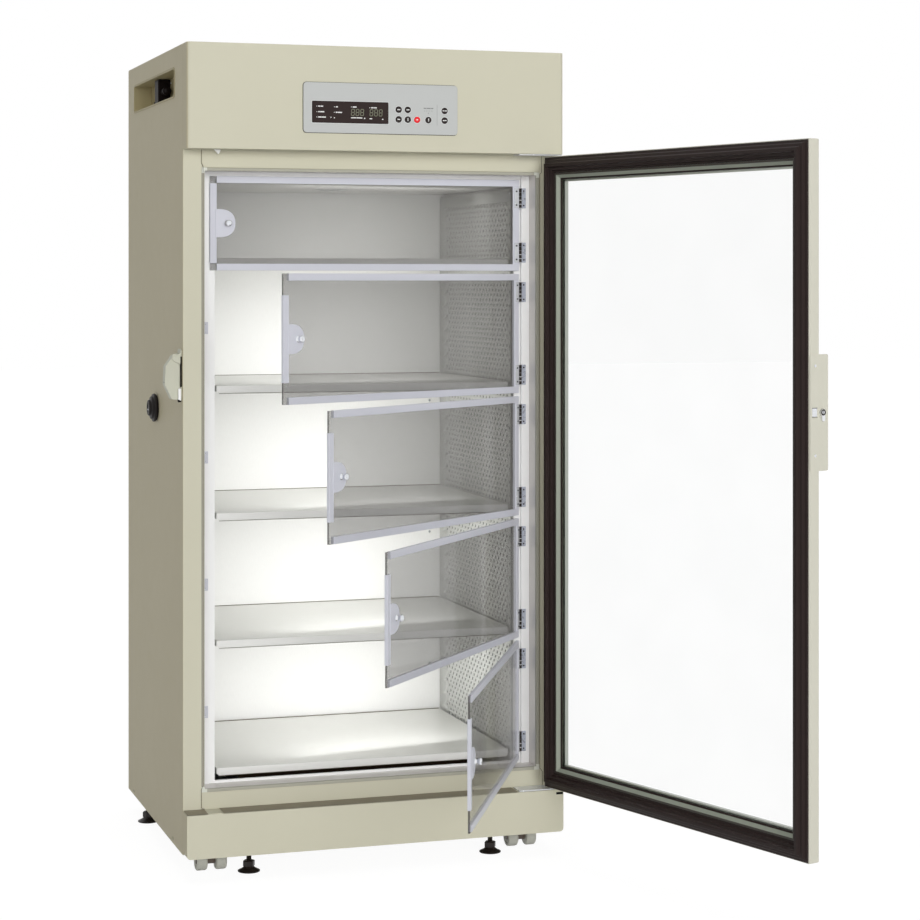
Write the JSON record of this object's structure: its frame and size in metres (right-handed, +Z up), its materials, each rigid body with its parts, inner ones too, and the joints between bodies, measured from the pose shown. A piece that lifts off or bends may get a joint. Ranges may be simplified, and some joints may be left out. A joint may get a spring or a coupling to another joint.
{
  "type": "carbon dioxide incubator",
  "caption": "Tall floor-standing reach-in incubator with a glazed outer door, smoked inner doors, shelves, a front key panel, side ports, screw feet and casters.",
  "frame": {"origin": "middle of the underside of the whole part's bounding box, at floor level, with the doors open as at rest", "axes": "+X to the right seen from the front, +Y towards the back of the cabinet, +Z up"},
  "size_m": [1.2322, 1.6204, 1.913],
  "materials": {
    "beige_paint": "baked beige enamel, fine satin",
    "white_plastic": "white moulded, satin",
    "grey_plastic": "light grey moulded, satin",
    "black_plastic": "black moulded, satin",
    "red_plastic": "red moulded, glossy",
    "black_rubber": "black soft extrusion, matt",
    "stainless": "stainless sheet, fine brushed",
    "chrome": "bright plated",
    "smoked_acrylic": "smoke-tinted clear pane, polished",
    "clear_glass": "clear double glazing, polished",
    "foam": "foamed-in-place rigid insulation, hidden",
    "caster_grey": "grey tread plastic, matt"
  },
  "bodies": {
    "cabinet": {"left_side_panel": "beige_paint", "right_side_panel": "beige_paint", "back_panel": "beige_paint", "header_cover": "beige_paint", "base_plinth": "beige_paint", "front_frame": "beige_paint", "latch_base": "beige_paint", "gas_port_recess": "beige_paint", "inner_door_frame": "white_plastic", "thermal_break": "grey_plastic", "control_fascia": "grey_plastic", "door_throat": "stainless", "chamber_liner": "stainless", "left_duct_panel": "stainless", "right_duct_panel": "stainless", "ceiling_duct_panel": "stainless", "shelf_1": "stainless", "shelf_2": "stainless", "shelf_3": "stainless", "shelf_4": "stainless", "shelf_5": "stainless", "humidity_pan": "stainless", "upper_hinge_bracket": "stainless", "lower_hinge_bracket": "stainless", "insulation": "foam", "gas_port_fittings": "black_plastic", "access_port_sleeve": "black_plastic", "fan_motor": "black_plastic", "levelling_foot_front_left": "black_plastic", "levelling_foot_front_right": "black_plastic", "levelling_foot_rear_left": "black_plastic", "levelling_foot_rear_right": "black_plastic"},
    "outer_door": {"door_shell": "beige_paint", "door_gasket": "black_rubber", "door_glazing": "clear_glass", "door_inner_frame": "grey_plastic", "door_handle_plate": "beige_paint"},
    "lock_barrel": {"lock_cylinder": "chrome"},
    "inner_door_1": {"inner_door_1": "smoked_acrylic"},
    "inner_door_2": {"inner_door_2": "smoked_acrylic"},
    "inner_door_3": {"inner_door_3": "smoked_acrylic"},
    "inner_door_4": {"inner_door_4": "smoked_acrylic"},
    "inner_door_5": {"inner_door_5": "smoked_acrylic"},
    "port_cap": {"access_port_cap": "black_rubber"},
    "latch_lever": {"latch_lever": "beige_paint"},
    "fan": {"fan_wheel": "grey_plastic"},
    "caster_left": {"front_caster_left": "black_plastic"},
    "caster_right": {"front_caster_right": "black_plastic"},
    "front_wheels_left": {"front_wheels_left": "caster_grey"},
    "front_wheels_right": {"front_wheels_right": "caster_grey"},
    "rear_wheels_left": {"rear_wheels_left": "caster_grey"},
    "rear_wheels_right": {"rear_wheels_right": "caster_grey"},
    "key_1": {"key_1": "black_plastic"},
    "key_2": {"key_2": "black_plastic"},
    "key_3": {"key_3": "black_plastic"},
    "key_4": {"key_4": "black_plastic"},
    "key_5": {"key_5": "red_plastic"},
    "key_6": {"key_6": "black_plastic"},
    "key_7": {"key_7": "black_plastic"},
    "key_8": {"key_8": "black_plastic"}
  },
  "joints": [
    {"name": "outer_door_hinge", "type": "hinge", "parent": "cabinet", "child": "outer_door", "pos_m": [0.31541, 0.0407, 0.9125], "axis": [0, 0, 1], "range_deg": [-107.5, 15]},
    {"name": "lock_turn", "type": "hinge", "parent": "outer_door", "child": "lock_barrel", "pos_m": [0.59832, -0.79837, 1.096], "axis": [-0.3007, 0.9537, 0], "range_deg": [0, 90]},
    {"name": "inner_door_1_hinge", "type": "hinge", "parent": "cabinet", "child": "inner_door_1", "pos_m": [0.25841, 0.1262, 0.2115], "axis": [0, 0, 1], "range_deg": [-63.1, 8.82]},
    {"name": "inner_door_2_hinge", "type": "hinge", "parent": "cabinet", "child": "inner_door_2", "pos_m": [0.25841, 0.1262, 0.507], "axis": [0, 0, 1], "range_deg": [-49.3, 6.89]},
    {"name": "inner_door_3_hinge", "type": "hinge", "parent": "cabinet", "child": "inner_door_3", "pos_m": [0.25841, 0.1262, 0.8025], "axis": [0, 0, 1], "range_deg": [-38.4, 5.37]},
    {"name": "inner_door_4_hinge", "type": "hinge", "parent": "cabinet", "child": "inner_door_4", "pos_m": [0.25841, 0.1262, 1.098], "axis": [0, 0, 1], "range_deg": [-28.2, 3.95]},
    {"name": "inner_door_5_hinge", "type": "hinge", "parent": "cabinet", "child": "inner_door_5", "pos_m": [0.25841, 0.1262, 1.3935], "axis": [0, 0, 1], "range_deg": [0, 95]},
    {"name": "port_cap_pull", "type": "slide", "parent": "cabinet", "child": "port_cap", "axis": [-1, 0, 0], "range_m": [0, 0.036]},
    {"name": "latch_lever_hinge", "type": "hinge", "parent": "cabinet", "child": "latch_lever", "pos_m": [-0.59209, 0.1042, 1.192], "axis": [0, 1, 0], "range_deg": [0, 60]},
    {"name": "fan_spin", "type": "hinge", "parent": "cabinet", "child": "fan", "pos_m": [-0.12209, 0.4772, 1.649], "axis": [0, 0, 1], "continuous": true},
    {"name": "caster_left_swivel", "type": "hinge", "parent": "cabinet", "child": "caster_left", "pos_m": [-0.50209, 0.1152, 0.04], "axis": [0, 0, 1], "continuous": true},
    {"name": "front_wheels_left_roll", "type": "hinge", "parent": "caster_left", "child": "front_wheels_left", "pos_m": [-0.50209, 0.1292, 0.0272], "axis": [1, 0, 0], "continuous": true},
    {"name": "rear_wheels_left_roll", "type": "hinge", "parent": "cabinet", "child": "rear_wheels_left", "pos_m": [-0.50209, 0.7212, 0.0272], "axis": [1, 0, 0], "continuous": true},
    {"name": "caster_right_swivel", "type": "hinge", "parent": "cabinet", "child": "caster_right", "pos_m": [0.25791, 0.1152, 0.04], "axis": [0, 0, 1], "continuous": true},
    {"name": "front_wheels_right_roll", "type": "hinge", "parent": "caster_right", "child": "front_wheels_right", "pos_m": [0.25791, 0.1292, 0.0272], "axis": [1, 0, 0], "continuous": true},
    {"name": "rear_wheels_right_roll", "type": "hinge", "parent": "cabinet", "child": "rear_wheels_right", "pos_m": [0.25791, 0.7212, 0.0272], "axis": [1, 0, 0], "continuous": true},
    {"name": "key_1_press", "type": "slide", "parent": "cabinet", "child": "key_1", "axis": [0, 1, 0], "range_m": [0, 0.001], "stiffness_N_per_m": 300},
    {"name": "key_2_press", "type": "slide", "parent": "cabinet", "child": "key_2", "axis": [0, 1, 0], "range_m": [0, 0.001], "stiffness_N_per_m": 300},
    {"name": "key_3_press", "type": "slide", "parent": "cabinet", "child": "key_3", "axis": [0, 1, 0], "range_m": [0, 0.001], "stiffness_N_per_m": 300},
    {"name": "key_4_press", "type": "slide", "parent": "cabinet", "child": "key_4", "axis": [0, 1, 0], "range_m": [0, 0.001], "stiffness_N_per_m": 300},
    {"name": "key_5_press", "type": "slide", "parent": "cabinet", "child": "key_5", "axis": [0, 1, 0], "range_m": [0, 0.001], "stiffness_N_per_m": 300},
    {"name": "key_6_press", "type": "slide", "parent": "cabinet", "child": "key_6", "axis": [0, 1, 0], "range_m": [0, 0.001], "stiffness_N_per_m": 300},
    {"name": "key_7_press", "type": "slide", "parent": "cabinet", "child": "key_7", "axis": [0, 1, 0], "range_m": [0, 0.001], "stiffness_N_per_m": 300},
    {"name": "key_8_press", "type": "slide", "parent": "cabinet", "child": "key_8", "axis": [0, 1, 0], "range_m": [0, 0.001], "stiffness_N_per_m": 300}
  ],
  "couplings": [
    {"joint": "inner_door_1_hinge", "follows": "outer_door_hinge", "ratio": 0.58697},
    {"joint": "inner_door_2_hinge", "follows": "outer_door_hinge", "ratio": 0.4586},
    {"joint": "inner_door_3_hinge", "follows": "outer_door_hinge", "ratio": 0.3572},
    {"joint": "inner_door_4_hinge", "follows": "outer_door_hinge", "ratio": 0.2623}
  ]
}
